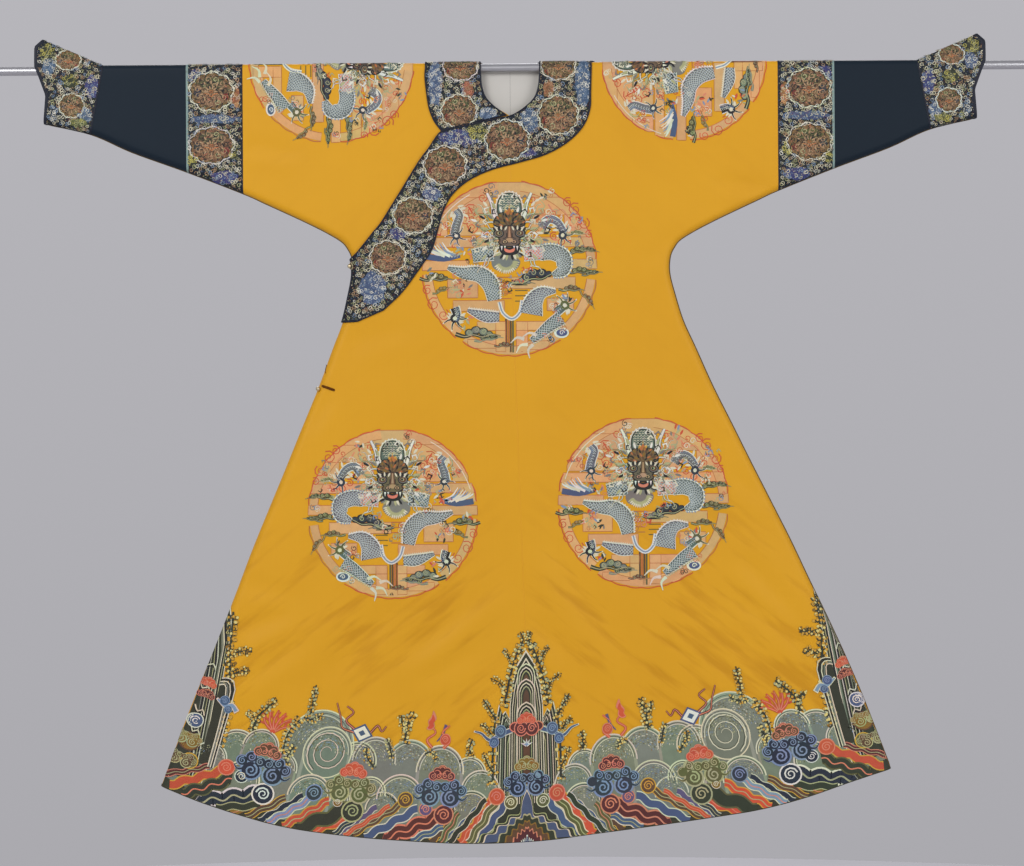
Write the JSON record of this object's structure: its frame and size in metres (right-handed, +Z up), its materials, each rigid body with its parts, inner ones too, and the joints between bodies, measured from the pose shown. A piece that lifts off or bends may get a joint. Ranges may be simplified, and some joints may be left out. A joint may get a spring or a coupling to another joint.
{
  "type": "chinese dragon robe on a hanging rod",
  "caption": "Long silk court robe with a wide skirt, side overlap, patterned bands and horse-hoof cuffs, hung flat by its sleeves on a plain metal rod.",
  "frame": {"origin": "on the rod's axis, in the middle of the robe's neck", "axes": "+X towards the wearer's left along the rod, -Y out of the robe's front, +Z up"},
  "size_m": [2, 0.0348, 1.4655],
  "materials": {
    "yellow_silk": "satin",
    "dark_silk": "satin",
    "patterned_trim": "woven",
    "brushed_metal": "brushed",
    "gilt_metal": "satin",
    "silk_cord": "corded"
  },
  "bodies": {
    "root": {"rod": "brushed_metal", "body_left": "yellow_silk", "body_right": "yellow_silk", "outer_flap": "yellow_silk", "collar_band": "patterned_trim", "lapel_band": "patterned_trim", "sleeve_band_left": "patterned_trim", "sleeve_band_right": "patterned_trim", "sleeve_left": "dark_silk", "sleeve_right": "dark_silk", "cuff_left": "patterned_trim", "cuff_right": "patterned_trim", "button_underarm": "gilt_metal", "loop_underarm": "silk_cord", "button_waist": "gilt_metal", "loop_waist": "silk_cord"}
  },
  "joints": []
}
